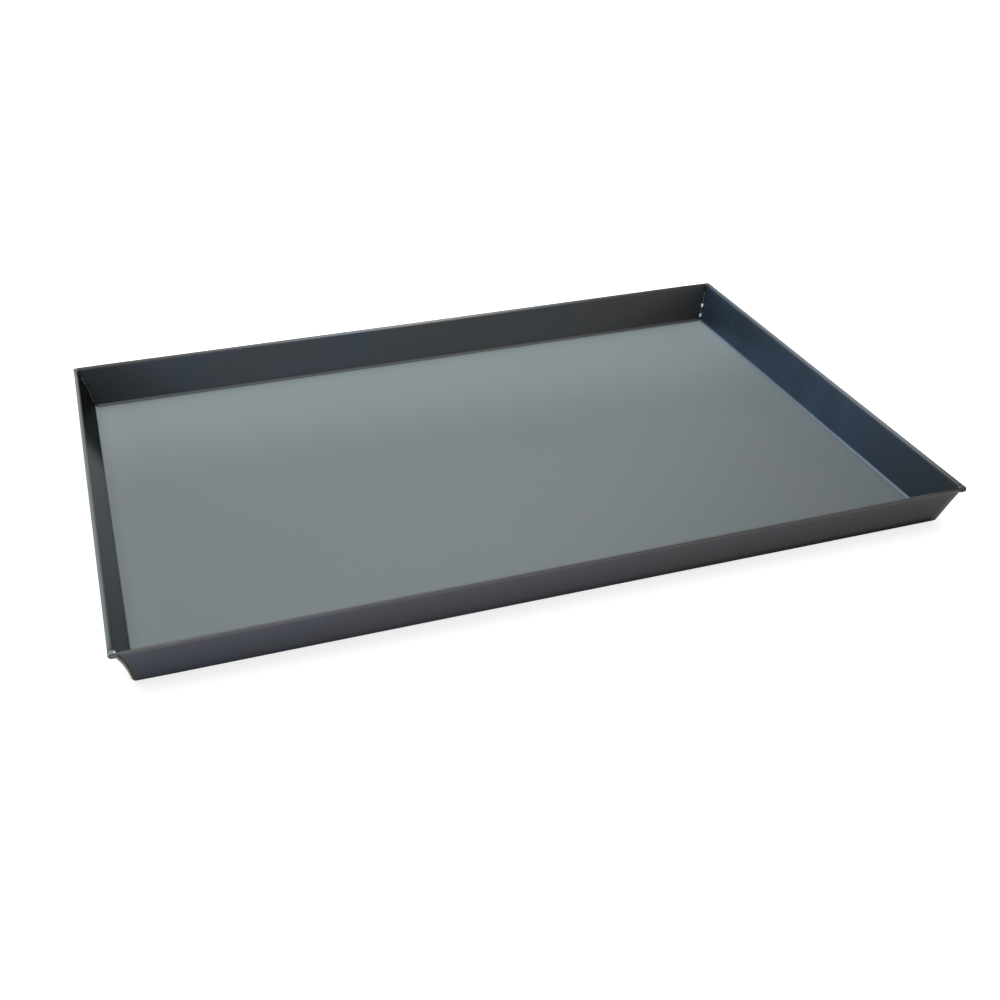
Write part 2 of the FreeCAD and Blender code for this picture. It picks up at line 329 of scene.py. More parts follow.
def smoke_at(wall, along, distance):
    """How dark a wall is painted, from 0 to 1: heat tint and painted shade beside the corner welds, soot
    and painted shade on the lip, and painted shade in the back fold.
    """
    clear = 1.0
    for end in (-1, 1):
        corner = CORNERS[corner_at(wall, end)]
        share, reach, lean, sudden = corner["smoke"][corner["walls"].index(wall)]
        reach *= 1 + lean * (height_share(distance) - 0.5)
        away = half_along(wall) - section(distance)[0] - end * along
        clear *= 1 - share * math.exp(-(max(0.0, away / reach) ** sudden))
    clear *= 1 - lip_soot_and_shade(wall, along) * min(1.0, LIP_DARK_GAIN * lip_share(distance))
    # Painted shade in the back fold.
    crease_shade = math.exp(-((distance / FOLD - 0.5) ** 2) / CREASE_WIDTH) if wall == "back" else 0.0
    return max((1 - clear) * min(1.0, distance / FOLD), BACK_CREASE_SHADE * crease_shade)


def blue_at(wall, along, distance):
    """How blue a wall is, from 0 to 1: its lip is rubbed grey."""
    start, end = WALLS[wall]["blue"]
    return (start + (end - start) * (0.5 + 0.5 * along / half_along(wall))) * (1 - lip_share(distance))


def fold_flat(wall, distance):
    """How much the sheet looks like the pale flat floor about a fold: 1 before it and 0 after it."""
    start, end = WALLS[wall]["fold"]
    turned = min(1.0, max(0.0, (distance - start) / (end - start)))
    return 1 - turned * turned * (3 - 2 * turned)


def floor_flat(x, y):
    """How much a point of the floor looks like the pale flat floor: less just before some folds."""
    share = 1.0
    for wall, facts in WALLS.items():
        gap = half_across(wall) - FLOOR_INSET - Vector((x, y, 0)).dot(facts["out"])
        share = min(share, fold_flat(wall, -gap))
    return share


def flat_at(wall, along, distance, side):
    """How much the sheet looks like the pale flat floor: 1 on it, 0 on the wall, and some on the lip."""
    if distance < FOLD:
        return fold_flat(wall, distance) * (1.0 if side == "top" else UNDER_FLAT)
    # How pale the lip is, painted light set per wall.
    level, narrow, _ = WALLS[wall]["rim"]
    # Soot and painted shade on the lip keep it from looking pale.
    level *= 1 - lip_soot_and_shade(wall, along)
    return level * lip_share(distance) ** narrow if side == "top" else 0.0


def wall_point(wall, along, distance, depth):
    """Point of a wall: along it, up its section, and through the sheet from the inner face."""
    inset, height, slope = section(distance)
    inward = bow(wall, along, distance) - depth
    across = half_across(wall) - inset - inward * math.sin(slope)
    flat = WALLS[wall]["out"] * across + WALLS[wall]["along"] * along
    height += inward * math.cos(slope) + rim_wave(wall, along, distance)
    return flat + Vector((0, 0, height))


# ---------------------------------------------------------------- mesh helpers

def new_piece(name, points, faces, materials, face_materials=None):
    """Make a smooth-shaded mesh object that rides on the root body."""
    mesh = bpy.data.meshes.new(name)
    mesh.from_pydata([tuple(p) for p in points], [], faces)
    for material in materials:
        mesh.materials.append(material)
    if face_materials:
        mesh.polygons.foreach_set("material_index", face_materials)
    mesh.polygons.foreach_set("use_smooth", [True] * len(mesh.polygons))
    mesh.set_sharp_from_angle(angle=SHARP_ANGLE)
    mesh.validate()
    piece = bpy.data.objects.new(name, mesh)
    bpy.context.scene.collection.objects.link(piece)
    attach(piece, "root")
    return piece


def paint(piece, name, values):
    """Give each point of a piece a value that its material reads by name."""
    piece.data.attributes.new(name, "FLOAT", "POINT").data.foreach_set("value", values)


def spread(start, end, count):
    """Evenly spaced values from start to end, both included."""
    return [start + (end - start) * step / count for step in range(count + 1)]


def ring_faces(rings, width):
    """Faces of a closed skin over rings of points, each with as many points, and of its two ends."""
    faces = []
    for ring in range(rings - 1):
        for step in range(width):
            a = ring * width + step
            b = ring * width + (step + 1) % width
            faces.append([a, b, b + width, a + width])
    faces.append(list(range(width - 1, -1, -1)))
    top = (rings - 1) * width
    faces.append([top + step for step in range(width)])
    return faces


def grid_lines(half, margin_steps, middle_steps):
    """Positions across the floor from -1 to 1, close together near the folds."""
    near = [half - step for step in margin_steps]
    middle = spread(-near[-1], near[-1], middle_steps)
    lines = [-value for value in near[:-1]] + middle + near[:-1][::-1]
    return [value / half for value in lines]


# ---------------------------------------------------------------- the sheet

def section_stations():
    """Distances up the section, with extra ones beside each bend so that flats shade flat."""
    guard = 0.35 * MM
    fold = spread(0.0, FOLD, 12)
    wall = [FOLD + guard] + spread(FOLD + 2 * MM, FOLD + WALL - 2 * MM, 8) + [FOLD + WALL - guard]
    bend = spread(FOLD + WALL, FOLD + WALL + BEND, 10)[:-1]
    return fold + wall + bend + [LIP_END - ROLL_REACH]


def edge_profile():
    """Inset and drop from the rim's top of the points round the cut edge, from the top downwards."""
    turns = spread(0, math.pi / 2, 5)[1:]
    roll = [(ROLL_REACH * (1 - math.sin(turn)), ROLL_DROP * (1 - math.cos(turn))) for turn in turns]
    burr = [
        (BURR_ROUND * (1 - math.cos(turn)), SHEET - BURR_ROUND * (1 - math.sin(turn)))
        for turn in [0.0] + turns[:-1]
    ]
    return roll + burr


def edge_point(wall, along, inset, drop):
    """Point on the rounded cut edge of the lip."""
    flat = WALLS[wall]["out"] * (half_across(wall) - inset) + WALLS[wall]["along"] * along
    return flat + Vector((0, 0, RIM_HEIGHT - drop + rim_wave(wall, along, LIP_END)))


def floor_sag(x, y):
    """Height of the floor above its true plane: rolled sheet is never quite flat."""
    edge_x = 1 - (abs(x) / (HALF["x"] - FLOOR_INSET)) ** SAG_POWER
    edge_y = 1 - (abs(y) / (HALF["y"] - FLOOR_INSET)) ** SAG_POWER
    ripple = noise.noise(Vector((x / SAG_PATCH[0], y / SAG_PATCH[1], SAG_SEED)))
    return SAG_HEIGHT * max(0.0, edge_x) * max(0.0, edge_y) * max(SAG_LEAST, SAG_MEAN + ripple)


class SheetMesh:
    """The folded sheet while it is built: named points, what is painted on them, and faces."""

    def __init__(self):
        self.points = []
        self.paints = []
        self.faces = []
        self.kinds = []
        self.index = {}

    def add(self, key, point, smoke=0.0, blue=0.0, flat=0.0):
        """Add a point under a name, with its painted values."""
        self.index[key] = len(self.points)
        self.points.append(point)
        self.paints.append({"smoke": smoke, "blue": blue, "flat": flat})

    def face(self, keys, kind):
        """Add a face between named points."""
        self.faces.append([self.index[key] for key in keys])
        self.kinds.append(kind)


SURFACE = 0
CUT = 1


def add_floor(sheet, lines_x, lines_y):
    """Both faces of the floor, as a grid."""
    for i, line_x in enumerate(lines_x):
        for j, line_y in enumerate(lines_y):
            x = line_x * (HALF["x"] - FLOOR_INSET)
            y = line_y * (HALF["y"] - FLOOR_INSET)
            lift = floor_sag(x, y)
            sheet.add(("top", i, j), Vector((x, y, SHEET + lift)), flat=floor_flat(x, y))
            sheet.add(("under", i, j), Vector((x, y, lift)), flat=UNDER_FLAT)
    for i in range(len(lines_x) - 1):
        for j in range(len(lines_y) - 1):
            corners = ((i, j), (i + 1, j), (i + 1, j + 1), (i, j + 1))
            sheet.face([("top", *c) for c in corners], SURFACE)
            sheet.face([("under", *c) for c in reversed(corners)], SURFACE)


def add_wall_points(sheet, wall, lines, stations, edge, floor_key):
    """Points of a wall and of its cut lip, in columns from its start to its end."""
    for n, line in enumerate(lines):
        end = 1 if line > 0 else -1
        for side, depth in (("top", 0.0), ("under", SHEET)):
            sheet.index[(wall, side, n, 0)] = sheet.index[(side, *floor_key(n))]
            for k, distance in enumerate(stations[1:], 1):
                along = line * wall_end(wall, end, distance)
                sheet.add(
                    (wall, side, n, k),
                    wall_point(wall, along, distance, depth),
                    smoke_at(wall, along, distance),
                    blue_at(wall, along, distance),
                    flat_at(wall, along, distance, side),
                )
        along = line * wall_end(wall, end, stations[-1])
        for e, (inset, drop) in enumerate(edge):
            sheet.add((wall, "edge", n, e), edge_point(wall, along, inset, drop))


def add_wall_faces(sheet, wall, columns, last, edge_count):
    """Faces of a wall: round its section, and across its two cut ends."""
    ring = [("top", k) for k in range(last + 1)]
    ring += [("edge", e) for e in range(edge_count)]
    ring += [("under", k) for k in range(last, -1, -1)]
    for n in range(columns - 1):
        for first, second in zip(ring, ring[1:]):
            quad = [(wall, first[0], n, first[1]), (wall, second[0], n, second[1])]
            quad += [(wall, second[0], n + 1, second[1]), (wall, first[0], n + 1, first[1])]
            sheet.face(quad, CUT if "edge" in (first[0], second[0]) else SURFACE)
    for n, turn in ((0, 1), (columns - 1, -1)):
        for k in range(last):
            cap = [(wall, "top", n, k), (wall, "under", n, k)]
            cap += [(wall, "under", n, k + 1), (wall, "top", n, k + 1)]
            sheet.face(cap[::turn], CUT)
        tip = [(wall, "top", n, last), (wall, "under", n, last)]
        tip += [(wall, "edge", n, e) for e in range(edge_count - 1, -1, -1)]
        sheet.face(tip[::turn], CUT)


def make_sheet(sheet_material, edge_material):
    """The whole folded sheet as one closed mesh: floor, four walls, lip, cut edges and seam ends."""
    margin = [0.0, 0.4 * MM, 1.5 * MM, 5 * MM]
    lines_x = grid_lines(HALF["x"] - FLOOR_INSET, margin, 56)
    lines_y = grid_lines(HALF["y"] - FLOOR_INSET, margin, 38)
    last_x = len(lines_x) - 1
    last_y = len(lines_y) - 1
    floor_keys = {
        "right": lambda n: (last_x, n),
        "back": lambda n: (last_x - n, last_y),
        "left": lambda n: (0, last_y - n),
        "front": lambda n: (n, 0),
    }
    stations = section_stations()
    edge = edge_profile()
    sheet = SheetMesh()
    add_floor(sheet, lines_x, lines_y)
    for wall in WALLS:
        lines = lines_y if wall in ("right", "left") else lines_x
        add_wall_points(sheet, wall, lines, stations, edge, floor_keys[wall])
        add_wall_faces(sheet, wall, len(lines), len(stations) - 1, len(edge))
    materials = [sheet_material, edge_material]
    piece = new_piece("pan_sheet", sheet.points, sheet.faces, materials, sheet.kinds)
    for name in ("smoke", "blue", "flat"):
        paint(piece, name, [values[name] for values in sheet.paints])
    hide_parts("tray_sheet")


# ---------------------------------------------------------------- the welds

# The outside seams: how many points along and across, how far up the section they start and how far
# from its end they stop, the (height, length) of their ripples and of their slow swelling, and over
# what length the ripples' spacing drifts.
SEAM_ROWS = 150
SEAM_COLUMNS = 18
SEAM_START = 0.25 * MM
SEAM_TOP_GAP = 2.2 * MM
RIPPLE = (0.04 * MM, 1.5 * MM)
RIPPLE_UNEVEN = 4 * MM
SWELL = (0.08 * MM, 5 * MM)
# The undercuts beside a seam: their places across it, how wide they are, and what depth is painted black
# as shade.
UNDERCUT_PLACES = (0.08, 0.86)
UNDERCUT_WIDTH = 0.12
UNDERCUT_BLACK = 0.4 * MM

# The inside beads: their size, how far out of the corner they stand, the length of a dollop, and where
# they start and stop. Then the (height, length) of their drift, of the dollops' unevenness, of their
# fine ripples and of their lumps; how much thinner the buried side is; and the square of the size at
# the ends. Then how long a painted highlight is, as a share of the bead, and how much the bead swells
# there.
BEAD_ROWS = 130
BEAD_ACROSS = 24
BEAD_RADIUS = 1.2 * MM
BEAD_SHIFT = 0.6 * MM
BEAD_PITCH = 4.2 * MM
BEAD_START = 2.2 * MM
BEAD_TOP_GAP = 5.0 * MM
BEAD_DRIFT = (0.3 * MM, 6 * MM)
BEAD_UNEVEN = (0.3, 9 * MM)
BEAD_FINE = (0.01, 1.1 * MM)
BEAD_LUMPS = (0.14, 2.2 * MM)
BEAD_BURIED = 0.6
BEAD_THINNEST = 0.0004
GLINT_LENGTH = 0.065
GLINT_SWELL = 0.1

# The buttons on the rim: how many points, how square they are (2 is round), how full they are, the
# (height, fineness) of their lumps and grit, the (depth, width) of the saddle between two crowns, and
# how wide a painted highlight speck is.
TACK_RINGS = 24
TACK_ACROSS = 36
TACK_SQUARE = 3.2
TACK_FULL = 0.97
TACK_LUMPS = (0.06, 1.7)
TACK_GRIT = (0.03, 5)
TACK_SADDLE = (0.06, 0.25)
SPECK_WIDTH = 0.16


def seam_rows(corner, distance):
    """Ends of the two walls on their outer faces, and where their inner faces meet, at a height."""
    before, after = CORNERS[corner]["walls"]
    along_before = wall_end(before, 1, distance)
    along_after = -wall_end(after, -1, distance)
    outer_before = wall_point(before, along_before, distance, SHEET)
    outer_after = wall_point(after, along_after, distance, SHEET)
    inner_before = wall_point(before, along_before, distance, 0.0)
    inner_after = wall_point(after, along_after, distance, 0.0)
    return outer_before, outer_after, inner_before, inner_after


def make_seam_weld(corner, material):
    """Weld metal that fills the notch between the cut ends of two walls, rippled along the corner."""
    facts = CORNERS[corner]
    seed = list(CORNERS).index(corner) + FIRST_SEED["seam"]
    before, after = facts["walls"]
    plan_out = WALLS[before]["out"] + WALLS[after]["out"]
    rows = spread(SEAM_START, LIP_END - SEAM_TOP_GAP, SEAM_ROWS)
    points = []
    shade = []
    for distance in rows:
        start, finish, inner_start, inner_finish = seam_rows(corner, distance)
        middle = (start + finish) / 2
        sharp = middle + plan_out * ((start - finish).length / math.sqrt(8))
        control = middle + (sharp - middle) * facts["bulge"]
        inner = (inner_start + inner_finish) / 2
        outward = (sharp - inner).normalized()
        phase = 2 * math.pi * distance / RIPPLE[1] + wave(seed, distance, RIPPLE_UNEVEN)
        ripple = RIPPLE[0] * math.sin(phase)
        swell = SWELL[0] * wave(seed + 1, distance, SWELL[1])
        for t in spread(0, 1, SEAM_COLUMNS):
            point = start * (1 - t) ** 2 + control * (2 * t * (1 - t)) + finish * t ** 2
            beside = [math.exp(-(((t - place) / UNDERCUT_WIDTH) ** 2)) for place in UNDERCUT_PLACES]
            undercut = sum(depth * near for depth, near in zip(facts["groove"], beside))
            lift = (ripple + swell) * 4 * t * (1 - t) - undercut
            point = point + outward * lift
            points.append(Vector((point.x, point.y, max(point.z, LOWEST))))
            # Painted shade: the undercut is painted darker the deeper it is. The gap between the walls
            # is painted black.
            shade.append(min(1.0, undercut / UNDERCUT_BLACK))
        points.append(inner)
        shade.append(1.0)
    faces = ring_faces(len(rows), SEAM_COLUMNS + 2)
    piece = new_piece(f"seam_{corner}", points, faces, [material])
    paint(piece, "groove", shade)
    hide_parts(f"seam_weld_{corner}")


def tube_points(centres, reach, across):
    """Points of a tube, ring by ring; reach gives its radius from the row and the direction."""
    axis = (centres[-1] - centres[0]).normalized()
    side = axis.orthogonal().normalized()
    other = axis.cross(side)
    points = []
    for row, centre in enumerate(centres):
        for step in range(across):
            turn = 2 * math.pi * step / across
            direction = side * math.cos(turn) + other * math.sin(turn)
            points.append(centre + direction * reach(row, direction))
    return points


def make_inner_bead(corner, material):
    """Bead up the inside of a corner: overlapping dollops, each with fine ripples."""
    facts = CORNERS[corner]
    seed = list(CORNERS).index(corner) + FIRST_SEED["bead"]
    before, after = facts["walls"]
    inward = -(WALLS[before]["out"] + WALLS[after]["out"]).normalized()
    sideways = (WALLS[before]["out"] - WALLS[after]["out"]).normalized()
    finish = FOLD + WALL - BEAD_TOP_GAP
    rows = spread(BEAD_START, finish, BEAD_ROWS)
    centres = []
    sizes = []
    shine = []
    for distance in rows:
        share = (distance - BEAD_START) / (finish - BEAD_START)
        _, _, inner_a, inner_b = seam_rows(corner, distance)
        drift = BEAD_DRIFT[0] * wave(seed, distance, BEAD_DRIFT[1])
        centres.append((inner_a + inner_b) / 2 + inward * BEAD_SHIFT + sideways * drift)
        phase = distance / BEAD_PITCH + BEAD_UNEVEN[0] * wave(seed + 1, distance, BEAD_UNEVEN[1])
        dollop = 1 + facts["lump"] * (abs(math.sin(math.pi * phase)) - 0.6)
        fine = 1 + BEAD_FINE[0] * math.sin(2 * math.pi * distance / BEAD_FINE[1])
        ends = math.sqrt(max(BEAD_THINNEST, 1 - (2 * share - 1) ** 10))
        # Painted highlights: where glints are painted along the bead.
        glints = [math.exp(-(((share - place) / GLINT_LENGTH) ** 4)) for place in facts["bright"]]
        shine.append(max(glints, default=0.0))
        sizes.append(BEAD_RADIUS * dollop * fine * ends * (1 + GLINT_SWELL * shine[-1]))

    def reach(row, direction):
        ball = Vector((direction.x, direction.y, rows[row] / BEAD_LUMPS[1] + seed))
        buried = max(0.0, -direction.dot(inward))
        return sizes[row] * (1 + BEAD_LUMPS[0] * noise.noise(ball)) * (1 - BEAD_BURIED * buried)

    points = tube_points(centres, reach, BEAD_ACROSS)
    faces = ring_faces(len(centres), BEAD_ACROSS)
    piece = new_piece(f"bead_{corner}", points, faces, [material])
    paint(piece, "shine", [value for value in shine for _ in range(BEAD_ACROSS)])
    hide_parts(f"inner_bead_{corner}")


def make_rim_tack(corner, material):
    """Lumpy button of weld metal that closes the tip of the lip; one with specks has two crowns."""
    facts = CORNERS[corner]
    seed = list(CORNERS).index(corner) + FIRST_SEED["tack"]
    low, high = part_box(f"rim_tack_{corner}")
    span, inside, clean = facts["tack"]
    centre = Vector((0, 0, high.z - span.z))
    for axis in (0, 1):
        if high[axis] > 0:
            centre[axis] = high[axis] - inside - span[axis]
        else:
            centre[axis] = low[axis] + inside + span[axis]
    balls = []
    for ring in range(1, TACK_RINGS):
        tilt = math.pi * ring / TACK_RINGS
        for step in range(TACK_ACROSS):
            turn = 2 * math.pi * step / TACK_ACROSS
            level = math.sin(tilt)
            balls.append(Vector((level * math.cos(turn), level * math.sin(turn), math.cos(tilt))))
    balls += [Vector((0, 0, 1)), Vector((0, 0, -1))]
    points = []
    shine = []
    for ball in balls:
        full = sum(abs(axis) ** TACK_SQUARE for axis in ball) ** (-1 / TACK_SQUARE)
        lump = TACK_FULL + TACK_LUMPS[0] * noise.noise(ball * TACK_LUMPS[1] + Vector((seed, 0, 0)))
        lump += TACK_GRIT[0] * noise.noise(ball * TACK_GRIT[1] + Vector((0, seed, 0)))
        saddle = 0.0
        if facts["specks"]:
            depth, width = TACK_SADDLE
            saddle = depth * math.exp(-((ball.x / width) ** 2)) * max(0.0, ball.z)
        size = full * (min(1.0, lump) - saddle)
        points.append(centre + Vector([ball[axis] * span[axis] for axis in range(3)]) * size)
        near = [clean]
        # Painted highlights: the bright specks on the button.
        for speck in facts["specks"]:
            away = (ball - speck.normalized()).length / SPECK_WIDTH
            near.append(math.exp(-(away ** 4)))
        shine.append(max(near))
    crown = len(points) - 2
    foot = len(points) - 1
    faces = []
    for ring in range(TACK_RINGS - 2):
        for step in range(TACK_ACROSS):
            a = ring * TACK_ACROSS + step
            b = ring * TACK_ACROSS + (step + 1) % TACK_ACROSS
            faces.append([a, a + TACK_ACROSS, b + TACK_ACROSS, b])
    bottom = (TACK_RINGS - 2) * TACK_ACROSS
    for step in range(TACK_ACROSS):
        after = (step + 1) % TACK_ACROSS
        faces.append([crown, step, after])
        faces.append([foot, bottom + after, bottom + step])
    piece = new_piece(f"tack_{corner}", points, faces, [material])
    paint(piece, "shine", shine)
    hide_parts(f"rim_tack_{corner}")


# ---------------------------------------------------------------- materials

FLOOR_TONE = 0.102
WALL_TONE = 0.094
# The outer faces' tone is darker than the inner faces' as painted shade.
OUTER_SHADED_TONE = 0.068
CUT_TONE = 0.075
SEAM_TONE = 0.135
FLOOR_METAL = 0.1
WALL_METAL = 0.9
# Colour of smoke and of painted shade.
SOOT_AND_SHADE = (0.03, 0.03, 0.0295, 1)
WHITE = (1, 1, 1, 1)
STAGE_TONE = 0.45
STAGE_GLOW = 0.7
# How the sheet is made paler or darker: from where, to where, and the factor at each end. They follow
# the photograph. On the floor they are painted light and shade: paler towards the back and just before
# the back and side folds, darker towards the front right. On the outer walls they are a painted
# reflection just under the lip, and painted shade towards the foot and towards the right. The cut edge
# is painted lighter towards the left and darker towards the right. The heat marks are darker towards
# the left outside and paler towards the right inside.
FLOOR_PAINTED_LIGHT = (0.02, 0.19, 1.0, 1.5)
FLOOR_BACK_PAINTED_LIGHT = (0.172, 0.188, 1.0, 1.06)
FLOOR_SIDES_PAINTED_LIGHT = (0.255, 0.284, 1.0, 1.09)
FLOOR_PAINTED_SHADE = (0.08, 0.42, 1.0, 0.78)
OUTER_PAINTED_REFLECTION = (RIM_HEIGHT - 4.6 * MM, RIM_HEIGHT - 4.0 * MM, 1.0, 1.3)
OUTER_PAINTED_SHADE_LOW = (0.0, 28 * MM, 0.74, 1.0)
OUTER_PAINTED_SHADE_RIGHT = (-0.1, 0.25, 1.0, 0.75)
HEAT_OUTER = (-0.25, 0.25, 0.85, 1.3)
HEAT_INNER = (0.2, 0.28, 1.0, 1.6)
CUT_PAINTED_SHADE_RIGHT = (-0.28, 0.2, 1.35, 0.8)
# The heat marks: how ragged, where they fade out from the weld, and how wide their colours are; and
# how far outside the flat floor the foot of a seam is.
HEAT_RAGGED = 5 * MM
HEAT_FADE = (2.5 * MM, 7.0 * MM, 1.0, 0.0)
HEAT_WIDTH = 10 * MM
SEAM_FOOT = 2.5 * MM
BUMP_DEPTH = 0.1 * MM
# Sockets of a colour Mix node, which share their names with those of its other kinds.
MIX_FACTOR = 0
MIX_FIRST = 6
MIX_SECOND = 7
MIX_COLOUR = 2


class Nodes:
    """Short-hand for building a node tree."""

    def __init__(self, tree):
        self.tree = tree
        tree.nodes.clear()

    def add(self, kind, values=None, **settings):
        """Add a node, set its options, and set or link its inputs."""
        node = self.tree.nodes.new(kind)
        for name, value in settings.items():
            setattr(node, name, value)
        for name, value in (values or {}).items():
            self.put(node.inputs[name], value)
        return node

    def put(self, socket, value):
        """Link a socket to another node's output, or give it a value of its own."""
        if isinstance(value, bpy.types.NodeSocket):
            self.tree.links.new(value, socket)
        else:
            socket.default_value = value

    def maths(self, operation, first, second=0.0, third=0.0):
        """Result of a Math node."""
        node = self.add("ShaderNodeMath", operation=operation)
        for socket, value in zip(node.inputs, (first, second, third)):
            self.put(socket, value)
        return node.outputs[0]

    def ramp(self, factor, stops):
        """Result of a colour ramp whose stops are (place, colour)."""
        node = self.add("ShaderNodeValToRGB", {"Fac": factor})
        elements = node.color_ramp.elements
        while len(elements) < len(stops):
            elements.new(1.0)
        for element, (place, colour) in zip(elements, stops):
            element.position = place
            element.color = (*colour, 1)
        return node.outputs["Color"]

    def noise(self, place, scale, detail=2.0, roughness=0.5, distortion=0.0):
        """Value of a noise texture, about 0 to 1."""
        values = {
            "Vector": place,
            "Scale": scale,
            "Detail": detail,
            "Roughness": roughness,
            "Distortion": distortion,
        }
        return self.add("ShaderNodeTexNoise", values).outputs["Fac"]

    def mix(self, factor, first, second):
        """Mix of two colours."""
        node = self.add("ShaderNodeMix", data_type="RGBA")
        self.put(node.inputs[MIX_FACTOR], factor)
        self.put(node.inputs[MIX_FIRST], first)
        self.put(node.inputs[MIX_SECOND], second)
        return node.outputs[MIX_COLOUR]

    def remap(self, value, low, high, to_low=0.0, to_high=1.0):
        """Value moved from one range to another and kept inside it, with soft ends."""
        node = self.add("ShaderNodeMapRange", interpolation_type="SMOOTHSTEP")
        for socket, number in zip(node.inputs[:5], (value, low, high, to_low, to_high)):
            self.put(socket, number)
        return node.outputs[0]

    def dimmed(self, colour, factor):
        """Colour scaled by a number from another node."""
        node = self.add("ShaderNodeVectorMath", operation="SCALE")
        self.put(node.inputs["Vector"], colour)
        self.put(node.inputs["Scale"], factor)
        return node.outputs["Vector"]

    def painted(self, name):
        """Value that the mesh holds under a name."""
        return self.add("ShaderNodeAttribute", attribute_name=name).outputs["Fac"]

    def stretched(self, place, scale):
        """Coordinates scaled by a different amount along each axis."""
        return self.add("ShaderNodeMapping", {"Vector": place, "Scale": scale}).outputs["Vector"]


def start_material(name):
    """New node material; returns it with its node builder and the object coordinates."""
    material = bpy.data.materials.new(name)
    material.use_nodes = True
    nodes = Nodes(material.node_tree)
    place = nodes.add("ShaderNodeTexCoord").outputs["Object"]
    return material, nodes, place


def finish_material(nodes, colour, roughness, height, bump, metallic=1.0, edge_tint=WHITE):
    """Join colour, roughness, height and the tint of glancing reflections to a surface."""
    normal = nodes.add("ShaderNodeBump", {"Height": height, "Strength": bump, "Distance": BUMP_DEPTH})
    shader = nodes.add("ShaderNodeBsdfPrincipled", {
        "Base Color": colour,
        "Roughness": roughness,
        "Metallic": metallic,
        "Normal": normal.outputs["Normal"],
        "Specular IOR Level": 0.2,
        "Specular Tint": edge_tint,
    })
    output = nodes.add("ShaderNodeOutputMaterial")
    nodes.tree.links.new(shader.outputs["BSDF"], output.inputs["Surface"])
    return shader


def corner_distance(nodes, place):
    """Distance in plan from the nearest corner seam at the point's height, and the coordinates."""
    split = nodes.add("ShaderNodeSeparateXYZ", {"Vector": place})
    flare = 1 / math.tan(WALL_ANGLE)
    rise = nodes.maths("MULTIPLY", nodes.maths("SUBTRACT", split.outputs["Z"], SHEET), flare)
    squares = []
    for axis, half in (("X", HALF["x"]), ("Y", HALF["y"])):
        seam = nodes.maths("ADD", rise, half - FLOOR_INSET + SEAM_FOOT)
        short = nodes.maths("SUBTRACT", seam, nodes.maths("ABSOLUTE", split.outputs[axis]))
        squares.append(nodes.maths("MULTIPLY", short, short))
    return nodes.maths("SQRT", nodes.maths("ADD", *squares)), split


def facing_up(nodes, place):
    """1 where the sheet faces upwards at all, as inside the pan, and 0 where it faces downwards."""
    normal = nodes.add("ShaderNodeSeparateXYZ", {"Vector": place.node.outputs["Normal"]})
    return nodes.remap(normal.outputs["Z"], -0.1, 0.1)


def toned(tone, stops):
    """Stops of a colour ramp, from hues whose mean is about 1 and one tone for them all."""
    return [(place, [channel * tone for channel in hue]) for place, hue in stops]


def flat_colours(nodes, place, split):
    """Colour of the flat sheet: cloudy grey-blue, with painted light and shade: paler along the back and
    before the back and side folds, darker towards the front right.
    """
    clouds = nodes.noise(place, 7.0, 3.0, 0.55, 0.4)
    colour = nodes.ramp(clouds, toned(FLOOR_TONE, (
        (0.30, (0.85, 1.03, 1.04)),
        (0.48, (0.87, 1.03, 1.07)),
        (0.62, (0.89, 1.02, 1.07)),
        (0.78, (0.87, 1.04, 1.06)),
    )))
    across = nodes.maths("MULTIPLY", split.outputs["X"], 0.8)
    away = nodes.maths("SUBTRACT", across, split.outputs["Y"])
    # Painted light and shade: paler towards the back and just before the back and side folds, darker
    # towards the front right.
    painted_light = nodes.remap(split.outputs["Y"], *FLOOR_PAINTED_LIGHT)
    for position, change in (
        (split.outputs["Y"], FLOOR_BACK_PAINTED_LIGHT),
        (nodes.maths("ABSOLUTE", split.outputs["X"]), FLOOR_SIDES_PAINTED_LIGHT),
        (away, FLOOR_PAINTED_SHADE),
    ):
        painted_light = nodes.maths("MULTIPLY", painted_light, nodes.remap(position, *change))
    return nodes.dimmed(colour, painted_light)


def wall_colours(nodes, place, split, inner_share):
    """Colour of the walls: neutral to blue with the heat, outer faces darker as painted shade, then
    darkened by smoke and painted shade.
    """
    clouds = nodes.noise(place, 14.0, 3.0, 0.6, 0.6)
    uneven = nodes.maths("MULTIPLY", nodes.maths("SUBTRACT", clouds, 0.5), 0.9)
    blue = nodes.maths("ADD", uneven, nodes.painted("blue"))
    inner = nodes.ramp(blue, toned(WALL_TONE, (
        (0.0, (1.00, 1.01, 1.00)),
        (0.4, (0.86, 1.02, 1.20)),
        (0.75, (0.68, 1.00, 1.50)),
        (1.0, (0.80, 1.28, 1.95)),
    )))
    # The outer faces are a darker copy of the same steel, painted as shade.
    outer = nodes.ramp(blue, toned(OUTER_SHADED_TONE, (
        (0.0, (1.02, 0.99, 1.00)),
        (0.5, (0.97, 0.95, 1.12)),
        (1.0, (0.84, 0.97, 1.22)),
    )))
    # On the outer faces: a painted reflection just under the lip, and painted shade towards the foot and
    # towards the right.
    for axis, change in (("Z", OUTER_PAINTED_REFLECTION), ("Z", OUTER_PAINTED_SHADE_LOW), ("X", OUTER_PAINTED_SHADE_RIGHT)):
        outer = nodes.dimmed(outer, nodes.remap(split.outputs[axis], *change))
    colour = nodes.mix(inner_share, outer, inner)
    # Smoke and painted shade darken the wall.
    return nodes.mix(nodes.painted("smoke"), colour, SOOT_AND_SHADE)


